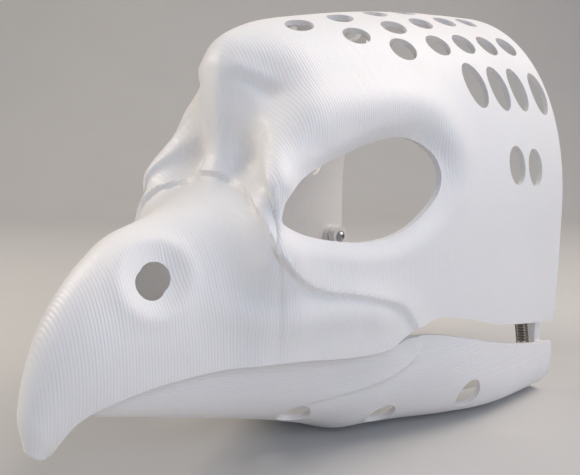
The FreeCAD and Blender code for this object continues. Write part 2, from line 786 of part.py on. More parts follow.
for thing in doc.Objects:
    if "Invalid" in thing.State or "Error" in thing.State:
        raise RuntimeError("%s did not build: %s" % (thing.Label, thing.State))
os.makedirs("parts", exist_ok=True)
for thing in subparts:
    if thing.Shape.isNull() or not thing.Shape.isValid():
        raise RuntimeError("%s has no valid shape" % thing.Label)
for thing in subparts:
    box = thing.Shape.BoundBox
    print("%-28s solids %d volume %9.1f  x %7.1f %7.1f  y %7.1f %7.1f  z %7.1f %7.1f" % (
        thing.Label, len(thing.Shape.Solids), thing.Shape.Volume,
        box.XMin, box.XMax, box.YMin, box.YMax, box.ZMin, box.ZMax))
    thing.Shape.exportStep("parts/%s.step" % thing.Label)
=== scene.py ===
import math

import bmesh
import bpy
import numpy as np
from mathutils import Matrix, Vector
from mathutils.kdtree import KDTree


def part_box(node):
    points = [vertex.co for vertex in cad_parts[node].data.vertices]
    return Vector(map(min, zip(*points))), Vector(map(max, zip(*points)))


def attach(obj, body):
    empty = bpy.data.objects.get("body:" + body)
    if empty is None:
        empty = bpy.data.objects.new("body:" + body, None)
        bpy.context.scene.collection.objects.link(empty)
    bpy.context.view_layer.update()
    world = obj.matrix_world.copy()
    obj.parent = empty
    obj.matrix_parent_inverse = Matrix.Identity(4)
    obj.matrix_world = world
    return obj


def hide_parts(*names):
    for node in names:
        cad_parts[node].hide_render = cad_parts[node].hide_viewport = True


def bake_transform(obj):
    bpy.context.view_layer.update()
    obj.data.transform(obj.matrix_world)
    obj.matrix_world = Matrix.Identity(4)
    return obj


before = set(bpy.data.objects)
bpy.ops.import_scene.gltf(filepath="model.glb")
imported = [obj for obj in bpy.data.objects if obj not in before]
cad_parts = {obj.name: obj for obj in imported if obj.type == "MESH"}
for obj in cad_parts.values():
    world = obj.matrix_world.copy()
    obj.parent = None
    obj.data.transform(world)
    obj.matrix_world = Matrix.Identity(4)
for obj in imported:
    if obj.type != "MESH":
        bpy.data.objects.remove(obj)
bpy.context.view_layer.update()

# Bird-head mask, printed in white PLA: an upper shell with the crown and the hooked beak, a lower
# jaw on two screws, and two extension springs.  Shapes are worked out in millimetres with X to the
# wearer's left, Y rearwards from the rear rim (so the beak is at negative Y) and Z up from the
# jaw's flat, and are then moved into the frame in metres.
REAR_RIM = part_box("upper_shell")[1].y
WALL = 3.0
SIDES = (("left", 1), ("right", -1))
MIRROR = np.array([-1.0, 1.0, 1.0])
HEAD_CENTRE = np.array([0.0, -120.0, 140.0])

# Sections of the shell: crest (distance forward, level), foot (the same), half width, where it is
# widest as a share of the way up, and how square the oval is above and below that.
SHELL_SECTIONS = np.array([
    (0, 251, 0, -6, 94, 0.48, 2.22, 5.0),
    (50, 248, 50, -6, 93.5, 0.47, 2.20, 5.0),
    (100, 243, 100, -4, 88, 0.46, 2.15, 4.0),
    (145, 236, 145, 0, 79, 0.44, 2.05, 3.4),
    (182, 228, 178, 5, 70, 0.42, 1.90, 3.0),
    (203, 217, 196, 8, 63, 0.42, 1.75, 3.0),
    (210, 203, 206, 12, 60, 0.42, 1.75, 3.0),
    (211, 185, 213, 14, 57.5, 0.42, 2.00, 3.0),
    (209, 166, 220, 17, 55, 0.42, 2.60, 3.0),
    (213, 150, 227, 20, 52, 0.42, 3.10, 3.0),
    (228, 138, 238, 23, 43, 0.42, 2.60, 3.0),
    (248, 131, 250, 26, 36, 0.43, 2.00, 3.0),
    (266, 125, 262, 28, 30, 0.45, 2.00, 3.0),
    (282, 114, 273, 30, 25, 0.46, 2.00, 2.6),
    (295, 100, 282, 31, 20.5, 0.48, 2.00, 2.4),
    (306, 82, 291, 31, 15, 0.50, 2.00, 2.0),
    (313, 62, 298, 31, 10.5, 0.50, 2.00, 2.0),
    (315, 50, 300, 31.5, 8.5, 0.50, 2.00, 2.0),
    (313.5, 37, 304, 31, 5, 0.50, 2.00, 2.0),
])
# Sections narrower than this are printed solid.
SOLID_HALF_WIDTH = 12.0
# Sections of the jaw: distance forward, underside, half width, level of the widest place,
# exponent of the lower corners.
JAW_SECTIONS = np.array([
    (0, -0.5, 93, 70, 9.0),
    (50, -0.5, 91, 70, 7.5),
    (90, -0.5, 87, 70, 4.6),
    (120, -0.5, 80, 70, 3.2),
    (148, -0.3, 71.5, 68, 2.6),
    (168, 7, 62, 66, 2.5),
    (200, 18.5, 49, 62, 2.4),
    (235, 29, 34, 60, 2.4),
    (262, 37, 22, 58, 2.3),
    (280, 42, 12, 57, 2.2),
    (287, 45, 6, 56, 2.0),
])
# Rows of points: how far along they are coarse, then the coarse and the fine spacing.
SHELL_ROWS = (112.0, 3.0, 1.0)
JAW_ROWS = (96.0, 3.0, 1.5)
# Points round half a section: how many above an angle, how many below it, and that angle.
SHELL_COLUMNS = (150, 18, 118)
JAW_COLUMNS = (20, 120, 62)
# Side view of each shell's edge: distance forward and level.
SHELL_EDGE = [
    (0, 49), (21, 52), (70, 60.5), (100, 69), (123, 73.5), (137, 71), (147, 66.5), (157, 61.5),
    (180, 61.5), (206, 64), (226, 64), (247, 62.5), (268, 59), (280, 55.5), (290, 51.5),
    (297, 46), (302, 38), (305, 30),
]
JAW_EDGE = [
    (0, 34.5), (20, 37.5), (65, 47.5), (95, 56), (120, 62.5), (138, 64), (147, 61.5),
    (158, 64), (180, 68), (210, 69), (240, 67), (265, 61), (280, 54.5), (288, 51),
]
# Side view of the eye opening, from its front corner over the top.
EYE_OUTLINE = [
    (214, 133), (204.5, 145.5), (178, 157.5), (148, 167), (130, 168), (119, 159), (119, 144),
    (131, 130.5), (150, 120.5), (172, 118), (196, 122), (210.5, 127.5),
]
EYE_INNER_LIMIT = 38.0
# Rows of vents: degrees round from the crest at the rear and at the front end, length of each
# vent, and distances forward.
VENT_ROWS = [
    (11.0, 16.8, 13.5, (45, 75, 105.5, 136.5, 167)),
    (22.5, 28.2, 14.0, (30, 57, 83, 111, 141.5)),
    (37.5, 37.0, 16.5, (18, 42, 66, 89.5, 118.5)),
    (55.0, 51.5, 29.0, (13, 35, 56, 77)),
    (75.0, 73.0, 23.0, (35, 58)),
]
VENT_WIDTH = 17.0
# Vents of the jaw: distance forward and degrees up from the middle of the underside.
JAW_VENTS = [(88, 54.0), (140, 46.0), (188, 42.0)]
JAW_VENT_LENGTH = 20.4
VENT_PLUG_REACH = 9.0
NOSTRIL = (24.0, -263.0, 105.5)
NOSTRIL_SIZE = (15.0, 13.0)
NOSTRIL_PLUG_REACH = 14.0
NECK_HALF_WIDTH = 62.0
NECK_DEPTH = 78.0

# Lines that the modelled relief follows, as points on the left side (X, Y, Z).
CERE_LINE = [
    (0, -211, 150), (10, -209, 148), (21, -209, 145), (34, -214, 142), (43, -218, 137),
    (49, -220, 132), (54, -220, 124), (59, -218, 116), (62, -212, 107), (63, -203, 100),
    (65, -193, 96), (69, -183, 94), (73, -171, 91), (76, -156, 86), (78, -148, 81),
    (79, -142, 73),
]
LIP_RIDGE = [
    (33, -249, 93), (46, -230, 87), (55, -215, 85), (64, -196, 85), (72, -173, 85), (76, -161, 80),
    (77, -152, 75),
]
BROW_ARC = [
    (44, -193, 165), (47, -191, 173), (52, -181, 181), (59, -164, 185), (64, -145, 187),
    (69, -126, 186), (73, -114, 180), (78, -109, 170), (81, -108, 157), (83, -113, 141),
]
BROW_LEDGE = [(8, -208, 204), (16, -204, 202), (23, -198, 198), (29, -193, 195), (38, -190, 192)]
LORE_VALLEY = [(27, -204, 191), (27, -205, 180), (25, -208, 168), (22, -210, 156)]
JAW_GROOVE = [
    (77, -131, 66), (77, -131, 58), (76, -133, 53), (74, -138, 48), (68, -152, 41),
    (59, -166, 37), (49, -183, 34), (42, -195, 32),
]
JAW_LIP = [(72, -150, 58), (62, -175, 58), (50, -200, 60), (38, -225, 60)]
CHEEK_SWEEP = [(46, -210, 146), (48, -212, 136), (50, -213, 126), (53, -212, 116)]
LINE_STEP = 1.5

# How far the wall moves along those lines and how far beside them that fades.
LORE_DEPTH, LORE_REACH = 11.0, 17.0
BROW_RISE, BROW_REACH = 3.2, 13.0
CHEEK_RISE, CHEEK_REACH = 6.0, 15.0
LIP_RISE, LIP_REACH = 2.2, 9.0
JAW_LIP_RISE, JAW_LIP_REACH = 1.6, 8.0
# Steps: height, half the width of the rise, and how far the high side fades.
CERE_HEIGHT, CERE_WIDTH, CERE_FADE = 1.5, 1.4, 9.0
CERE_HEIGHT_LOST_AT_END = 0.4
GROOVE_HEIGHT, GROOVE_WIDTH, GROOVE_FADE = 1.6, 1.8, 8.0
NOSTRIL_DIMPLE, NOSTRIL_INNER, NOSTRIL_OUTER = 3.4, 4.5, 17.0
# How deep the orbit's funnel is at its rim and how far out it starts, at each outline point.
ORBIT_DEPTH = [3.5, 4.5, 6.0, 6.5, 6.0, 5.0, 4.0, 3.5, 3.0, 3.0, 3.0, 3.0]
ORBIT_REACH = [13, 19, 24, 24, 20, 17, 15, 14, 12, 11, 10, 10]
# How far the wall turns in at the very edge of the opening, most under the brow.
ORBIT_LIP = [1.0, 4.0, 8.0, 9.5, 8.0, 4.0, 1.0, 0.5, 0.5, 0.5, 0.5, 0.8]
ORBIT_LIP_REACH = 10.0

# The jaw's arm, from its foot near the rear rim up to the round head at the pivot.
ARM_HALF_WIDTH, ARM_HEAD_RADIUS = 4.0, 8.0
ARM_FOOT_Y, ARM_FOOT_Z, ARM_BEND_Z = -5.0, 19.0, 50.0
ARM_BLOCK_TOP, ARM_BLOCK_REACH, ARM_BLOCK_INSET = 34.0, 11.5, 0.2


def smoothstep(low, high, value):
    """0 below low, 1 above high, and a soft turn between."""
    t = np.clip((value - low) / (high - low), 0, 1)
    return t * t * (3 - 2 * t)


def hill(distance, reach):
    """1 at distance 0, falling smoothly to nothing a few reaches away."""
    return np.exp(-((distance / reach) ** 2))


# ---- shapes of the two shells ----

def eased_slopes(column):
    """Slope at each entry of an evenly spaced list, such that the curve never overshoots."""
    steps = np.diff(column)
    both = steps[:-1] * steps[1:]
    total = steps[:-1] + steps[1:]
    middle = np.where(both > 0, 2 * both / np.where(total == 0, 1, total), 0.0)
    return np.concatenate([steps[:1], middle, steps[-1:]])


def smooth_table(sections, per_gap=20):
    """The sections with smooth in-between rows added."""
    slopes = np.stack([eased_slopes(c) for c in sections.T], axis=1)
    rows = []
    for k in range(per_gap * (len(sections) - 1) + 1):
        i = min(k // per_gap, len(sections) - 2)
        t = k / per_gap - i
        rows.append(
            (2 * t**3 - 3 * t**2 + 1) * sections[i] + (t**3 - 2 * t**2 + t) * slopes[i]
            + (3 * t**2 - 2 * t**3) * sections[i + 1] + (t**3 - t**2) * slopes[i + 1])
    return np.array(rows)


def spaced_rows(sections, coarse_until, coarse, fine):
    """Rows of the smooth table at the given spacings, coarse at the rear and fine at the face."""
    table = smooth_table(sections)
    steps = np.linalg.norm(np.diff(table[:, :4], axis=0), axis=1) / math.sqrt(2)
    travelled = np.concatenate([[0], np.cumsum(steps)])
    whole = travelled[-1]
    places = np.concatenate([
        np.arange(0, coarse_until, coarse), np.arange(coarse_until, whole, fine), [whole]])
    return np.stack([np.interp(places, travelled, column) for column in table.T], axis=1)


def half_turn(upper_count, lower_count, fine_until):
    """Angles from the crest (0) round one side to the foot (half a turn)."""
    upper = np.linspace(0, fine_until, upper_count, endpoint=False)
    lower = np.linspace(fine_until, 180, lower_count)
    return np.radians(np.concatenate([upper, lower]))


def unit_oval(angle, exponent):
    """Sideways and upward shares on an oval; a higher exponent makes it squarer."""
    side, up = np.sin(angle), np.cos(angle)
    radius = (np.abs(side) ** exponent + np.abs(up) ** exponent) ** (-1.0 / exponent)
    return radius * side, radius * up


def shell_surface(rows, angles):
    """Points of the left half of the shell's outer surface, one row per section."""
    crest_d, crest_z, foot_d, foot_z, half, seat, above, below = (c[:, None] for c in rows.T)
    upper = (np.cos(angles) >= 0)[None, :]
    sideways, upwards = unit_oval(angles[None, :], np.where(upper, above, below))
    rise = seat + upwards * np.where(upper, 1 - seat, seat)
    return np.stack([
        half * sideways,
        -(foot_d + (crest_d - foot_d) * rise),
        foot_z + (crest_z - foot_z) * rise,
    ], axis=2)


def jaw_surface(rows, angles):
    """Points of the left half of the jaw's outer surface, one row per section."""
    distance, bottom, half, widest, exponent = (c[:, None] for c in rows.T)
    sideways, upwards = unit_oval(angles[None, :], exponent)
    return np.stack([
        half * sideways,
        -distance + 0 * sideways,
        widest + (widest - bottom) * upwards,
    ], axis=2)


def outward_normals(surface):
    """Unit normals of a half surface whose first and last columns lie on the middle plane."""
    padded = np.concatenate([surface[:, 1:2] * MIRROR, surface, surface[:, -2:-1] * MIRROR], axis=1)
    round_it = padded[:, 2:] - padded[:, :-2]
    along = np.gradient(surface, axis=0)
    normals = np.cross(along, round_it)
    return normals / np.maximum(np.linalg.norm(normals, axis=2, keepdims=True), 1e-9)


def moved_out(surface, amount):
    """The surface moved square to itself; the middle plane stays where it is."""
    moved = surface + outward_normals(surface) * amount[:, :, None]
    moved[:, (0, -1), 0] = 0.0
    return moved


# ---- relief on the surfaces ----

def fine_line(points, closed=False):
    """A smooth line through the points, sampled evenly."""
    p = np.array(points, float)
    if closed:
        p = np.concatenate([p[-1:], p, p[:2]])
    else:
        p = np.concatenate([2 * p[:1] - p[1:2], p, 2 * p[-1:] - p[-2:-1]])
    parts = []
    t = np.linspace(0, 1, 12, endpoint=False)[:, None]
    for a, b, c, d in zip(p, p[1:], p[2:], p[3:]):
        parts.append(0.5 * (
            2 * b + (c - a) * t + (2 * a - 5 * b + 4 * c - d) * t**2
            + (3 * b - a - 3 * c + d) * t**3))
    parts.append(p[-2:-1])
    fine = np.concatenate(parts)
    travelled = np.concatenate([[0], np.cumsum(np.linalg.norm(np.diff(fine, axis=0), axis=1))])
    places = np.linspace(0, travelled[-1], max(8, int(travelled[-1] / LINE_STEP)))
    return np.stack([np.interp(places, travelled, c) for c in fine.T], axis=1)


def nearest_on(line, surface):
    """Index of the line's nearest sample and the distance to it, for each surface point."""
    tree = KDTree(len(line))
    for k, point in enumerate(line):
        tree.insert(point, k)
    tree.balance()
    found = [tree.find(p)[1:] for p in surface.reshape(-1, 3)]
    index = np.array([f[0] for f in found]).reshape(surface.shape[:2])
    distance = np.array([f[1] for f in found]).reshape(surface.shape[:2])
    return index, distance


def beside_line(points, surface, normals, closed=False):
    """(signed distance to one side of a line, plain distance, share of the way along it)."""
    line = fine_line(points, closed=closed)
    index, distance = nearest_on(line, surface)
    tangent = np.gradient(line, axis=0)
    tangent /= np.linalg.norm(tangent, axis=1, keepdims=True)
    sideways = np.cross(normals, tangent[index])
    offset = np.sum((surface - line[index]) * sideways, axis=2)
    return offset, distance, index / (len(line) - 1.0)


def inside_outline(surface, outline):
    """Which points fall inside a side-view outline of (distance forward, level)."""
    y, z = surface[:, :, 1], surface[:, :, 2]
    inside = np.zeros(y.shape, bool)
    points = fine_line([(0, -d, level) for d, level in outline], closed=True)[:, 1:]
    for (y1, z1), (y2, z2) in zip(points, np.roll(points, -1, axis=0)):
        crosses = (z1 > z) != (z2 > z)
        with np.errstate(divide="ignore", invalid="ignore"):
            at = y1 + (z - z1) * (y2 - y1) / (z2 - z1 if z2 != z1 else 1e-9)
        inside ^= crosses & (y < at)
    return inside


def eye_rim(surface):
    """The eye outline laid on the surface, as 3-D points."""
    y, z = surface[:, :, 1], surface[:, :, 2]
    side = surface[:, :, 0] > EYE_INNER_LIMIT
    points = []
    for d, level in EYE_OUTLINE:
        gap = (y + d) ** 2 + (z - level) ** 2 + np.where(side, 0, 1e6)
        points.append(surface[np.unravel_index(np.argmin(gap), gap.shape)])
    return points


def broad_relief(surface):
    """Relief that the wall follows on its inner face too: brow, lore hollows, orbit funnels."""
    normals = outward_normals(surface)
    ahead = smoothstep(-60, -95, surface[:, :, 1])
    # hollows between the bridge of the nose and the brows
    _, distance, _ = beside_line(LORE_VALLEY, surface, normals)
    amount = -LORE_DEPTH * hill(distance, LORE_REACH) * smoothstep(2, 14, surface[:, :, 0])
    # swollen brow above and behind the eye
    _, distance, share = beside_line(BROW_ARC, surface, normals)
    ends = smoothstep(0, 0.15, share) * smoothstep(1.0, 0.8, share)
    amount += BROW_RISE * hill(distance, BROW_REACH) * (0.35 + 0.65 * ends)
    # funnel round the eye opening
    outline = eye_rim(surface)
    _, distance, share = beside_line(outline, surface, normals, closed=True)
    distance = np.where(inside_outline(surface, EYE_OUTLINE), 0.0, distance)
    turn = np.linspace(0, 1, len(EYE_OUTLINE) + 1)
    depth = np.interp(share, turn, ORBIT_DEPTH + ORBIT_DEPTH[:1])
    reach = np.interp(share, turn, ORBIT_REACH + ORBIT_REACH[:1])
    amount -= depth * (1 - smoothstep(0, 1, distance / reach)) ** 1.3
    lip = np.interp(share, turn, ORBIT_LIP + ORBIT_LIP[:1])
    amount -= lip * (1 - smoothstep(0, 1, distance / ORBIT_LIP_REACH))
    return amount * ahead


def swollen(surface, amount):
    """The surface moved away from the head's middle, and square to itself on the beak.

    Moving away from one middle point never folds the wall at the tight corner of the cheek.
    """
    way = surface - HEAD_CENTRE
    way /= np.linalg.norm(way, axis=2, keepdims=True)
    on_beak = smoothstep(-232, -248, surface[:, :, 1:2])
    way = way * (1 - on_beak) + outward_normals(surface) * on_beak
    way /= np.linalg.norm(way, axis=2, keepdims=True)
    moved = surface + way * amount[:, :, None]
    moved[:, (0, -1), 0] = 0.0
    return moved


def with_cheeks(surface):
    """The surface with the cheek in front of the eye swept forwards and outwards."""
    _, distance, _ = beside_line(CHEEK_SWEEP, surface, outward_normals(surface))
    amount = CHEEK_RISE * hill(distance, CHEEK_REACH) * smoothstep(10, 34, surface[:, :, 0])
    return surface + amount[:, :, None] * np.array([1.0, -1.0, 0.0])


def step_over_line(offset, height, lip, fade):
    """A step up across a line: the high side stands proud by the line and levels out away."""
    high = height * hill(offset, fade) * smoothstep(-lip, lip, offset)
    low = -0.6 * height * hill(offset, 0.7 * fade) * smoothstep(lip, -lip, offset)
    return high + low


def fine_relief(surface):
    """Relief on the outer face only: cere edge, brow ledge, upper lip and nostril dimple."""
    normals = outward_normals(surface)
    offset, distance, share = beside_line(CERE_LINE, surface, normals)
    near = smoothstep(26, 16, distance)
    height = CERE_HEIGHT - CERE_HEIGHT_LOST_AT_END * smoothstep(0.8, 1.0, share)
    amount = step_over_line(offset, height, CERE_WIDTH, CERE_FADE) * near
    # the print's seam leaves a rough bead on the upper part of that edge
    rough = np.random.default_rng(7).normal(0, 1, surface.shape[:2])
    bead = hill(offset - 1.2, 1.3) * near * smoothstep(0.72, 0.6, share)
    amount += bead * (0.30 + 0.07 * rough)
    offset, distance, share = beside_line(BROW_LEDGE, surface, normals)
    ends = smoothstep(0, 0.25, share) * smoothstep(1.0, 0.6, share)
    amount += (0.9 * hill(offset - 1.0, 4.0) - 1.0 * hill(offset + 4.5, 3.5)) * (
        ends * smoothstep(16, 9, distance))
    # swollen upper lip
    _, distance, share = beside_line(LIP_RIDGE, surface, normals)
    ends = smoothstep(0, 0.3, share) * smoothstep(1.0, 0.85, share)
    amount += LIP_RISE * hill(distance, LIP_REACH) * ends
    # dimple round the nostril, with a low rim
    gap = surface - np.array(NOSTRIL)
    gap[:, :, 2] *= 0.85
    away = np.linalg.norm(gap + np.array([0.0, -2.5, -2.5]), axis=2)
    amount -= NOSTRIL_DIMPLE * (1 - smoothstep(NOSTRIL_INNER, NOSTRIL_OUTER, away))
    amount += 0.7 * hill(away - NOSTRIL_OUTER, 4.0)
    return amount


def jaw_relief(surface):
    """Relief on the jaw's outer face: the groove under the cheek and a swollen lip."""
    normals = outward_normals(surface)
    offset, distance, share = beside_line(JAW_GROOVE, surface, normals)
    near = smoothstep(24, 14, distance) * smoothstep(1.0, 0.75, share)
    amount = step_over_line(-offset, GROOVE_HEIGHT, GROOVE_WIDTH, GROOVE_FADE) * near
    _, distance, _ = beside_line(JAW_LIP, surface, normals)
    return amount + JAW_LIP_RISE * hill(distance, JAW_LIP_REACH)


# ---- meshes ----

def to_frame(points):
    """Working millimetres to metres in the frame."""
    p = np.asarray(points, float) / 1000.0
    p[..., 1] += REAR_RIM
    return p


def whole_rings(half):
    """Full rings from a left half, without repeating the middle plane's points."""
    return np.concatenate([half, half[:, -2:0:-1] * MIRROR], axis=1)


def ring_solid(name, rings):
    """A closed solid from rings of points, with a fan at each end."""
    rows, cols = rings.shape[:2]
    vertices = [tuple(p) for p in to_frame(rings.reshape(-1, 3))]
    first, last = rings[0].mean(axis=0), rings[-1].mean(axis=0)
    vertices += [tuple(to_frame(first)), tuple(to_frame(last))]
    i, k = np.meshgrid(np.arange(rows - 1), np.arange(cols), indexing="ij")
    nxt = (k + 1) % cols
    quads = np.stack([i * cols + k, i * cols + nxt, (i + 1) * cols + nxt, (i + 1) * cols + k], -1)
    faces = [tuple(q) for q in quads.reshape(-1, 4)]
    base = (rows - 1) * cols
    for c in range(cols):
        after = (c + 1) % cols
        faces.append((rows * cols, after, c))
        faces.append((rows * cols + 1, base + c, base + after))
    return new_piece(name, vertices, faces)


def new_piece(name, vertices, faces):
    """An object from points and faces, with its faces turned outwards."""
    mesh = bpy.data.meshes.new(name)
    mesh.from_pydata(vertices, [], faces)
    mesh.update()
    made = bmesh.new()
    made.from_mesh(mesh)
    bmesh.ops.recalc_face_normals(made, faces=made.faces)
    made.to_mesh(mesh)
    made.free()
    piece = bpy.data.objects.new(name, mesh)
    bpy.context.scene.collection.objects.link(piece)
    return piece


def prism(name, outline, direction):
    """A closed solid: an outline of 3-D points pushed along a direction (working mm)."""
    near = np.array(outline, float)
    far = near + np.array(direction, float)
    count = len(near)
    faces = [tuple(range(count)), tuple(range(2 * count - 1, count - 1, -1))]
    for k in range(count):
        n = (k + 1) % count
        faces.append((k, count + k, count + n, n))
    return new_piece(name, [tuple(p) for p in to_frame(np.concatenate([near, far]))], faces)


def rod(name, x_from, x_to, y, z, radius, sides=64):
    """A round solid across the mask; y is in the working frame."""
    turn = np.linspace(0, 2 * math.pi, sides, endpoint=False)
    outline = np.stack([
        np.full(sides, x_from), y + radius * np.cos(turn), z + radius * np.sin(turn)], axis=1)
    return prism(name, outline, (x_to - x_from, 0, 0))


def oval_plug(name, centre, normal, down, length, width, reach, sides=56):
    """An oval solid through the wall at a place, long way down the wall."""
    normal = np.array(normal) / np.linalg.norm(normal)
    long_way = down - normal * np.dot(down, normal)
    long_way /= np.linalg.norm(long_way)
    short_way = np.cross(normal, long_way)
    turn = np.linspace(0, 2 * math.pi, sides, endpoint=False)[:, None]
    outline = (centre - normal * reach + long_way * np.cos(turn) * length / 2
               + short_way * np.sin(turn) * width / 2)
    return prism(name, outline, normal * 2 * reach)


def both(make, name, *points):
    """Makes a piece on the left and its mirror image on the right."""
    made = []
    for side_name, side in SIDES:
        flip = np.array([side, 1.0, 1.0])
        made.append(make("%s_%s" % (side_name, name), *[np.array(p, float) * flip for p in points]))
    return made


def joined(pieces):
    """One object from several."""
    first = pieces[0]
    made = bmesh.new()
    for piece in pieces:
        made.from_mesh(piece.data)
    made.to_mesh(first.data)
    made.free()
    for piece in pieces[1:]:
        bpy.data.objects.remove(piece)
    return first


def combined(piece, tool, operation):
    """The piece with the tool's solid cut from it or added to it."""
    modifier = piece.modifiers.new("solid", "BOOLEAN")
    modifier.operation = operation
    modifier.solver = "MANIFOLD"
    modifier.object = tool
    baked(piece)
    bpy.data.objects.remove(tool)
    return piece


def baked(piece):
    """Turns the piece's modifiers into mesh."""
    graph = bpy.context.evaluated_depsgraph_get()
    mesh = bpy.data.meshes.new_from_object(piece.evaluated_get(graph))
    piece.modifiers.clear()
    old = piece.data
    piece.data = mesh
    bpy.data.meshes.remove(old)


def smoothed(piece, sharp_degrees=32):
    """Shades the piece smooth, except across edges sharper than the given angle."""
    for polygon in piece.data.polygons:
        polygon.use_smooth = True
    piece.data.set_sharp_from_angle(angle=math.radians(sharp_degrees))


def edge_cutter(name, edge, beyond, front):
    """Everything beyond a side-view edge line, right across the mask."""
    line = fine_line([(-120, -d, level) for d, level in edge])
    rear = np.array([(-120, 30, line[0][2])])
    tail = [(-120, -front, line[-1][2])] if front else []
    corners = tail + [(-120, -(front or edge[-1][0]), beyond), (-120, 30, beyond)]
    outline = np.concatenate([rear, line, np.array(corners, float)])
    return prism(name, outline, (240, 0, 0))


def surface_place(surface, rows, distance, angle_index):
    """Point, normal and downward direction on a half surface at a distance and an angle."""
    row = int(np.argmin(np.abs(rows[:, 0] - distance)))
    normals = outward_normals(surface)
    down = surface[row, angle_index + 1] - surface[row, angle_index - 1]
    return surface[row, angle_index], normals[row, angle_index], down


def vent_plugs(surface, rows, angles):
    """The solids that cut the vents of the upper shell, as one object."""
    plugs = []
    for rear_degrees, front_degrees, length, distances in VENT_ROWS:
        for k, distance in enumerate(distances):
            degrees = rear_degrees + (front_degrees - rear_degrees) * k / (len(distances) - 1)
            at = int(np.argmin(np.abs(angles - math.radians(degrees))))
            place = surface_place(surface, rows, distance, at)
            plugs += both(
                lambda name, c, n, d: oval_plug(
                    name, c, n, d, length, VENT_WIDTH, VENT_PLUG_REACH),
                "vent", *place)
    return joined(plugs)


def jaw_vent_plugs(surface, rows, angles):
    """The solids that cut the vents of the jaw, as one object."""
    plugs = []
    for distance, degrees in JAW_VENTS:
        at = int(np.argmin(np.abs(angles - math.pi + math.radians(degrees))))
        place = surface_place(surface, rows, distance, at)
        plugs += both(
            lambda name, c, n, d: oval_plug(
                name, c, n, d, JAW_VENT_LENGTH, VENT_WIDTH, VENT_PLUG_REACH),
            "jaw_vent", *place)
    return joined(plugs)


def hook_tip(half):
    """Rings that round off the hook's end."""
    last = half[-1]
    centre = np.array([0, last[:, 1].mean(), last[:, 2].mean()])
    ahead = (half[-1] - half[-3]).mean(axis=0)
    ahead = np.array([0, ahead[1], ahead[2]])
    ahead /= np.linalg.norm(ahead)
    rings = []
    for share in (0.3, 0.55, 0.75, 0.9, 0.98):
        width = math.sqrt(1 - share**2)
        rings.append(centre + (last - centre) * width + ahead * share * 3.0)
    return np.concatenate([half, np.array(rings)])


def centre_of(node):
    """Middle of a CAD node in the working frame: (x, y, z) in mm."""
    low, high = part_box(node)
    middle = (low + high) / 2
    return middle.x * 1000, (middle.y - REAR_RIM) * 1000, middle.z * 1000


def half_size(node, axis):
    """Half a CAD node's extent along an axis, in mm."""
    low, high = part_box(node)
    return (high[axis] - low[axis]) * 500


def insert_bosses(node, boss_radius, reach):
    """A round boss that holds a pressed-in insert, and the bore for it, on both sides."""
    x, y, z = centre_of("left_" + node)
    half_length, radius = half_size("left_" + node, 0), half_size("left_" + node, 1)
    face = x - half_length
    bosses, bores = [], []
    for _, side in SIDES:
        bosses.append(rod("boss", side * face, side * (face + reach), y, z, boss_radius))
        bores.append(rod("bore", side * (face - 1), side * (x + half_length), y, z, radius))
    return bosses, bores


def make_upper_shell():
    """The crown and beak: one printed wall with its openings and the bosses inside."""
    rows = spaced_rows(SHELL_SECTIONS, *SHELL_ROWS)
    angles = half_turn(*SHELL_COLUMNS)
    plain = with_cheeks(shell_surface(rows, angles))
    followed = swollen(plain, broad_relief(plain))
    outer = moved_out(followed, fine_relief(followed))
    hollow_rows = int(np.sum(rows[:, 4] > SOLID_HALF_WIDTH))
    inner = moved_out(followed, np.full(followed.shape[:2], -WALL))[:hollow_rows:3, ::3]
    inner[:, -1, 0] = 0.0
    rear = inner[:1] + np.array([0.0, 12.0, 0.0])
    inner = np.concatenate([rear, inner])
    piece = ring_solid("printed_upper_shell", whole_rings(hook_tip(outer)))
    piece = combined(piece, ring_solid("inside", whole_rings(inner)), "DIFFERENCE")
    piece = combined(piece, edge_cutter("below_edge", SHELL_EDGE, -60.0, None), "DIFFERENCE")
    eye = fine_line([(EYE_INNER_LIMIT, -d, level) for d, level in EYE_OUTLINE], closed=True)[:-1]
    openings = []
    for _, side in SIDES:
        outline = eye * np.array([side, 1.0, 1.0])
        openings.append(prism("eye", outline, (side * 80.0, 0, 0)))
    centre = np.array(NOSTRIL)
    gap = np.linalg.norm(plain - centre, axis=2)
    at = np.unravel_index(np.argmin(gap), gap.shape)
    normal = outward_normals(plain)[at]
    openings += both(
        lambda name, c, n, d: oval_plug(name, c, n, d, *NOSTRIL_SIZE, NOSTRIL_PLUG_REACH),
        "nostril", centre, normal, (0.0, 0.3, -1.0))
    piece = combined(piece, joined(openings), "DIFFERENCE")
    piece = combined(piece, vent_plugs(plain, rows, angles), "DIFFERENCE")
    for node, radius, reach in (("pivot_insert", 8.0, 6.2), ("upper_spring_insert", 5.0, 7.0)):
        bosses, bores = insert_bosses(node, radius, reach)
        piece = combined(piece, joined(bosses), "UNION")
        piece = combined(piece, joined(bores), "DIFFERENCE")
    smoothed(piece)
    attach(piece, "shell")
    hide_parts("upper_shell")
    return piece


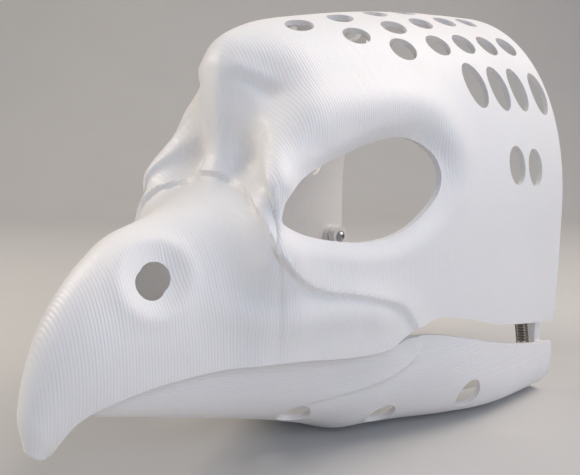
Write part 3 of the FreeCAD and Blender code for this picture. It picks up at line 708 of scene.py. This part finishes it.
def arm_strip(side):
    """The jaw's arm: a flat strip from the wall up to a round head at the pivot."""
    _, pivot_y, pivot_z = centre_of("left_pivot_bush")
    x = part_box("left_pivot_bush")[0].x * 1000
    thickness = 2 * half_size("left_pivot_bush", 0)
    rear, front = ARM_FOOT_Y + ARM_HALF_WIDTH, ARM_FOOT_Y - ARM_HALF_WIDTH
    head, inset = ARM_HEAD_RADIUS, ARM_BLOCK_INSET
    outline = [
        (rear, ARM_FOOT_Z), (front, ARM_FOOT_Z), (front, ARM_BEND_Z), (pivot_y - head, pivot_z)]
    for k in range(1, 24):
        turn = math.pi + math.pi * k / 24
        outline.append((pivot_y + head * math.cos(turn), pivot_z - head * math.sin(turn)))
    outline += [(pivot_y + head, pivot_z), (rear, ARM_BEND_Z)]
    strip = prism("arm", [(side * x, y, z) for y, z in outline], (side * thickness, 0, 0))
    foot = [(rear - inset, ARM_FOOT_Z + inset), (front + inset, ARM_FOOT_Z + inset),
            (front + inset, ARM_BLOCK_TOP), (rear - inset, ARM_BLOCK_TOP)]
    block = prism(
        "foot", [(side * (x + 0.5), y, z) for y, z in foot], (side * ARM_BLOCK_REACH, 0, 0))
    return combined(strip, block, "UNION")


def make_lower_jaw():
    """The jaw: one printed wall with a throat notch, vents and two arms up to the pivots."""
    rows = spaced_rows(JAW_SECTIONS, *JAW_ROWS)
    angles = half_turn(*JAW_COLUMNS)
    plain = jaw_surface(rows, angles)
    outer = moved_out(plain, jaw_relief(plain))
    hollow_rows = int(np.sum(rows[:, 2] > SOLID_HALF_WIDTH))
    inner = moved_out(plain, np.full(plain.shape[:2], -WALL))[:hollow_rows:3, ::2]
    inner[:, -1, 0] = 0.0
    inner = np.concatenate([inner[:1] + np.array([0.0, 12.0, 0.0]), inner])
    piece = ring_solid("printed_lower_jaw", whole_rings(outer))
    piece = combined(piece, ring_solid("inside", whole_rings(inner)), "DIFFERENCE")
    piece = combined(piece, edge_cutter("above_edge", JAW_EDGE, 300.0, 330.0), "DIFFERENCE")
    floor = [(-200, 50, 0), (-200, 50, -80), (-200, -400, -80), (-200, -400, 0)]
    piece = combined(piece, prism("floor", floor, (400, 0, 0)), "DIFFERENCE")
    turn = np.linspace(0, math.pi, 48)
    nose = [(NECK_HALF_WIDTH * math.cos(t),
             -NECK_DEPTH + NECK_HALF_WIDTH - NECK_HALF_WIDTH * math.sin(t), -10.0) for t in turn]
    notch = [(NECK_HALF_WIDTH, 30.0, -10.0)] + nose + [(-NECK_HALF_WIDTH, 30.0, -10.0)]
    piece = combined(piece, prism("neck", notch, (0, 0, 100)), "DIFFERENCE")
    piece = combined(piece, jaw_vent_plugs(plain, rows, angles), "DIFFERENCE")
    for _, side in SIDES:
        piece = combined(piece, arm_strip(side), "UNION")
    bosses, bores = insert_bosses("lower_spring_insert", 5.0, 7.2)
    piece = combined(piece, joined(bosses), "UNION")
    x, y, z = centre_of("left_pivot_bush")
    radius = half_size("left_pivot_bush", 1)
    for _, side in SIDES:
        bores.append(rod("bush_bore", side * (x - 6), side * (x + 6), y, z, radius))
    piece = combined(piece, joined(bores), "DIFFERENCE")
    smoothed(piece)
    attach(piece, "jaw")
    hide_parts("lower_jaw")
    return piece


def wire_tube(name, path, radius, sides=12):
    """A round wire along a path in metres, with flat ends."""
    p = np.array(path)
    tangent = np.gradient(p, axis=0)
    tangent /= np.linalg.norm(tangent, axis=1, keepdims=True)
    across = np.cross(tangent[0], (0.3, 0.5, 0.8))
    rings = []
    turn = np.linspace(0, 2 * math.pi, sides, endpoint=False)[:, None]
    for here, way in zip(p, tangent):
        across = across - way * np.dot(across, way)
        across /= np.linalg.norm(across)
        rings.append(here + radius * (across * np.cos(turn) + np.cross(way, across) * np.sin(turn)))
    vertices = [tuple(v) for v in np.concatenate(rings)]
    faces = []
    rows = len(rings)
    for i in range(rows - 1):
        for k in range(sides):
            n, j = (k + 1) % sides, i + 1
            faces.append((i * sides + k, i * sides + n, j * sides + n, j * sides + k))
    faces += [tuple(range(sides))[::-1], tuple(range((rows - 1) * sides, rows * sides))]
    return new_piece(name, vertices, faces)


def make_spring(side_name):
    """Extension spring: open coils between two loops that hang on the posts, in metres."""
    wire, coil_radius, pitch = 0.00055, 0.00345, 0.0020
    loop_radius, neck, slack = 0.00286, 0.00306, 0.00066
    lower = sum(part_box(side_name + "_lower_spring_screw"), Vector()) / 2
    upper = sum(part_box(side_name + "_upper_spring_screw"), Vector()) / 2
    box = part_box(side_name + "_jaw_spring")
    lower.x = upper.x = (box[0].x + box[1].x) / 2
    way = (upper - lower).normalized()
    low, high = lower + way * slack, upper - way * slack
    start, end = low + way * (loop_radius + neck), high - way * (loop_radius + neck)
    across, ahead = Vector((1, 0, 0)), way.cross(Vector((1, 0, 0)))
    length = (end - start).length
    turns = max(3, round(length / pitch))

    def loop(centre, towards):
        """Three quarters of a turn round the post, opening towards the coil."""
        sweep = [math.radians(a) for a in range(-75, 240, 9)]
        return [centre - towards * (loop_radius * math.cos(a)) + ahead * (loop_radius * math.sin(a))
                for a in sweep]

    steps = 26 * turns
    coil = []
    for k in range(steps + 1):
        share = k / steps
        swing = 2 * math.pi * turns * share
        grow = min(1.0, 1.6 * share * turns + 0.12, 1.6 * (1 - share) * turns + 0.12)
        coil.append(start + way * (length * share)
                    + (across * math.cos(swing) + ahead * math.sin(swing)) * (coil_radius * grow))
    path = loop(low, way)[::-1] + [low + way * (loop_radius + neck * 0.5)] + coil
    path += [high - way * (loop_radius + neck * 0.5)] + loop(high, -way)
    piece = wire_tube(side_name + "_extension_spring", [tuple(v) for v in path], wire)
    smoothed(piece, 60)
    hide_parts(side_name + "_jaw_spring")
    return piece, lower, upper


# ---- materials ----

# Metres between drawn layer ridges, and the size of the faint bands across them.
LAYER_SPACING = 0.0013
BAND_SIZE = 0.0021


def linear(code):
    """sRGB hex to linear colour."""
    channels = [int(code[k:k + 2], 16) / 255.0 for k in (1, 3, 5)]
    return tuple(c / 12.92 if c <= 0.04045 else ((c + 0.055) / 1.055) ** 2.4
                 for c in channels) + (1.0,)


def add_node(tree, kind, links=None, **settings):
    """Adds a node: links gives inputs a value or another node's output, settings its options."""
    made = tree.nodes.new(kind)
    for key, value in settings.items():
        setattr(made, key, value)
    for key, value in (links or {}).items():
        socket = made.inputs[key]
        if isinstance(value, bpy.types.NodeSocket):
            tree.links.new(value, socket)
        else:
            socket.default_value = value
    return made


def new_material(name):
    """A material with one shader: (material, its node tree, the shader)."""
    made = bpy.data.materials.new(name)
    made.use_nodes = True
    tree = made.node_tree
    tree.nodes.clear()
    shader = add_node(tree, "ShaderNodeBsdfPrincipled")
    add_node(tree, "ShaderNodeOutputMaterial", {"Surface": shader.outputs[0]})
    return made, tree, shader


def add_math(tree, operation, first, second=0.0):
    """The output of a maths node."""
    return add_node(tree, "ShaderNodeMath", {0: first, 1: second}, operation=operation).outputs[0]


def printed_pla(name, axis, tint):
    """White PLA laid down in layers square to one axis: satin, with fine ridges and odd beads.

    Real layers are 0.2 to 0.3 mm; they are drawn 1.3 mm apart so that they show.
    """
    made, tree, shader = new_material(name)
    place = add_node(tree, "ShaderNodeTexCoord").outputs["Object"]
    split = add_node(tree, "ShaderNodeSeparateXYZ", {0: place})
    height = split.outputs[axis]
    drift = add_node(tree, "ShaderNodeTexNoise", {
        "Vector": place, "Scale": 60.0, "Detail": 2.0}).outputs[0]
    shifted = add_math(tree, "ADD", height, add_math(tree, "MULTIPLY", drift, 0.0005))
    ridge = add_math(tree, "SINE", add_math(tree, "MULTIPLY", shifted, 2 * math.pi / LAYER_SPACING))
    # layers differ a little from each other, which shows as wider faint bands
    bands = add_node(tree, "ShaderNodeTexNoise", {
        "W": add_math(tree, "MULTIPLY", shifted, 1 / BAND_SIZE), "Scale": 1.0, "Detail": 3.0,
        "Roughness": 0.7}, noise_dimensions="1D").outputs[0]
    grain = add_node(tree, "ShaderNodeTexNoise", {
        "Vector": place, "Scale": 900.0, "Detail": 3.0}).outputs[0]
    relief = add_math(tree, "ADD", add_math(tree, "MULTIPLY", ridge, 0.42),
                      add_math(tree, "ADD", add_math(tree, "MULTIPLY", bands, 1.3),
                               add_math(tree, "MULTIPLY", grain, 0.25)))
    bump = add_node(tree, "ShaderNodeBump", {
        "Height": relief, "Strength": 0.45, "Distance": 0.0002})
    clouds = add_node(tree, "ShaderNodeTexNoise", {
        "Vector": place, "Scale": 14.0, "Detail": 4.0}).outputs[0]
    colour = add_node(tree, "ShaderNodeMix", {
        "Factor": clouds, "A": linear(tint[0]), "B": linear(tint[1])},
        data_type="RGBA").outputs["Result"]
    rough = add_node(tree, "ShaderNodeMapRange", {
        "Value": bands, "From Min": 0.3, "From Max": 0.7, "To Min": 0.36, "To Max": 0.50})
    for socket, value in (
            ("IOR", 1.46), ("Subsurface Weight", 0.12), ("Subsurface Scale", 0.0015)):
        shader.inputs[socket].default_value = value
    tree.links.new(colour, shader.inputs["Base Color"])
    tree.links.new(rough.outputs[0], shader.inputs["Roughness"])
    tree.links.new(bump.outputs[0], shader.inputs["Normal"])
    return made


def turned_metal(name, code, roughness, ring_mm):
    """Metal turned on a lathe: fine rings that stretch the highlights."""
    made, tree, shader = new_material(name)
    place = add_node(tree, "ShaderNodeTexCoord").outputs["Object"]
    rings = add_node(tree, "ShaderNodeTexNoise", {
        "Vector": place, "Scale": 1000.0 / ring_mm, "Detail": 2.0}).outputs[0]
    bump = add_node(tree, "ShaderNodeBump", {
        "Height": rings, "Strength": 0.25, "Distance": 0.00005})
    worn = add_node(tree, "ShaderNodeMapRange", {
        "Value": rings, "To Min": roughness - 0.08, "To Max": roughness + 0.1})
    shader.inputs["Base Color"].default_value = linear(code)
    shader.inputs["Metallic"].default_value = 1.0
    tree.links.new(worn.outputs[0], shader.inputs["Roughness"])
    tree.links.new(bump.outputs[0], shader.inputs["Normal"])
    return made


def dress(piece, material):
    """Gives the piece one material."""
    piece.data.materials.clear()
    piece.data.materials.append(material)


# ---- the mask ----

shell = make_upper_shell()
jaw = make_lower_jaw()
shell_pla = printed_pla("white_pla_printed_on_its_rim", "Y", ("#E6E7E9", "#F0EEEC"))
jaw_pla = printed_pla("white_pla_printed_flat", "Z", ("#E4E5E7", "#EEECEA"))
dress(shell, shell_pla)
dress(jaw, jaw_pla)

# Zinc gives a cool grey glint, brass a warm one, and the oiled steel a dull dark line of coils.
zinc = turned_metal("zinc_plated_steel", "#B9BDC2", 0.30, 0.35)
brass = turned_metal("knurled_brass", "#C9A35A", 0.32, 0.5)
spring_steel = turned_metal("oiled_spring_steel", "#8F8880", 0.34, 0.3)
for side_name, _ in SIDES:
    for node, metal, slot in (
            ("pivot_screw", zinc, "zinc_screw"),
            ("inner_washer", zinc, "zinc_washer"),
            ("outer_washer", zinc, "zinc_washer"),
            ("pivot_bush", brass, "brass"),
            ("pivot_insert", brass, "brass"),
            ("upper_spring_screw", zinc, "zinc_screw"),
            ("upper_spring_insert", brass, "brass"),
            ("lower_spring_screw", zinc, "zinc_screw"),
            ("lower_spring_insert", brass, "brass")):
        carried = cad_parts["%s_%s" % (side_name, node)]
        dress(carried, metal)
    spring, foot, head = make_spring(side_name)
    dress(spring, spring_steel)
    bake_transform(spring)

# ---- floor, light and camera ----

CAMERA_PLACE = (0.264, REAR_RIM - 0.417, 0.170)
CAMERA_AROUND, CAMERA_UP = math.radians(45), math.radians(9)
# The sheet in metres: near edge, end of the flat, radius of the curve, top, half width, and how
# far it lies under the jaw.
FLOOR_NEAR, FLOOR_FLAT, FLOOR_CURVE, FLOOR_TOP = -1.2, 0.9, 0.5, 2.2
FLOOR_HALF_WIDTH, FLOOR_GAP = 3.0, 0.0002


def make_floor():
    """A pale sheet that runs up behind the mask in one curve."""
    profile = [(FLOOR_NEAR, 0.0), (FLOOR_FLAT, 0.0)]
    for k in range(1, 13):
        turn = math.pi / 2 * k / 12
        profile.append((FLOOR_FLAT + FLOOR_CURVE * math.sin(turn),
                        FLOOR_CURVE - FLOOR_CURVE * math.cos(turn)))
    profile.append((FLOOR_FLAT + FLOOR_CURVE, FLOOR_TOP))
    # the sheet's rear is behind the mask as the camera sees it
    way = np.array([-math.sin(CAMERA_AROUND), math.cos(CAMERA_AROUND)])
    side = np.array([math.cos(CAMERA_AROUND), math.sin(CAMERA_AROUND)])
    vertices, faces = [], []
    for along, up in profile:
        for across in (-FLOOR_HALF_WIDTH, FLOOR_HALF_WIDTH):
            spot = way * along + side * across
            vertices.append((spot[0], spot[1], up - FLOOR_GAP))
    for k in range(len(profile) - 1):
        faces.append((2 * k, 2 * k + 1, 2 * k + 3, 2 * k + 2))
    floor = new_piece("floor_sheet", vertices, faces)
    for polygon in floor.data.polygons:
        polygon.use_smooth = True
    # Matt paper: a quiet pale ground with faint clouds and no glint.
    made, tree, shader = new_material("pale_paper")
    place = add_node(tree, "ShaderNodeTexCoord").outputs["Object"]
    fibres = add_node(tree, "ShaderNodeTexNoise", {"Vector": place, "Scale": 9.0, "Detail": 3.0})
    colour = add_node(tree, "ShaderNodeMix", {
        "Factor": fibres.outputs[0], "A": linear("#C2C1BF"), "B": linear("#C8C7C5")},
        data_type="RGBA")
    tree.links.new(colour.outputs["Result"], shader.inputs["Base Color"])
    shader.inputs["Roughness"].default_value = 0.9
    dress(floor, made)


def area_light(name, place, target, width, power, code):
    """A square soft lamp aimed at a target; width in metres and power in watts."""
    light = bpy.data.lights.new(name, "AREA")
    light.shape = "RECTANGLE"
    light.size = width
    light.size_y = width
    light.energy = power
    light.color = linear(code)[:3]
    lamp = bpy.data.objects.new(name, light)
    bpy.context.scene.collection.objects.link(lamp)
    lamp.location = place
    way = Vector(target) - Vector(place)
    lamp.rotation_euler = way.to_track_quat("-Z", "Y").to_euler()


def make_light():
    """Warm key and fill with a cool fill from the left, in a dim pale room."""
    middle = (0.0, 0.0, 0.12)
    area_light("key_from_above", (0.45, 0.50, 1.15), middle, 0.8, 11.0, "#FFF3E8")
    area_light("fill_from_front", (-0.95, -0.85, 0.95), middle, 0.7, 12.0, "#FFF2E2")
    area_light("fill_from_left", (1.2, -0.35, 0.65), middle, 0.8, 5.8, "#DEE8FF")
    world = bpy.data.worlds.new("studio")
    bpy.context.scene.world = world
    world.use_nodes = True
    background = world.node_tree.nodes["Background"]
    background.inputs["Color"].default_value = linear("#E6ECF7")
    background.inputs["Strength"].default_value = 0.30


def make_camera():
    """A view from the wearer's left of the front and a little above."""
    data = bpy.data.cameras.new("camera")
    data.sensor_width = 36.0
    data.lens = 40.34
    data.clip_start = 0.01
    camera = bpy.data.objects.new("camera", data)
    bpy.context.scene.collection.objects.link(camera)
    level = math.cos(CAMERA_UP)
    back = Vector((math.sin(CAMERA_AROUND) * level, -math.cos(CAMERA_AROUND) * level,
                   math.sin(CAMERA_UP)))
    camera.location = CAMERA_PLACE
    camera.rotation_euler = back.to_track_quat("Z", "Y").to_euler()
    bpy.context.scene.camera = camera


make_floor()
make_light()
make_camera()
bpy.context.scene.view_settings.view_transform = "Standard"
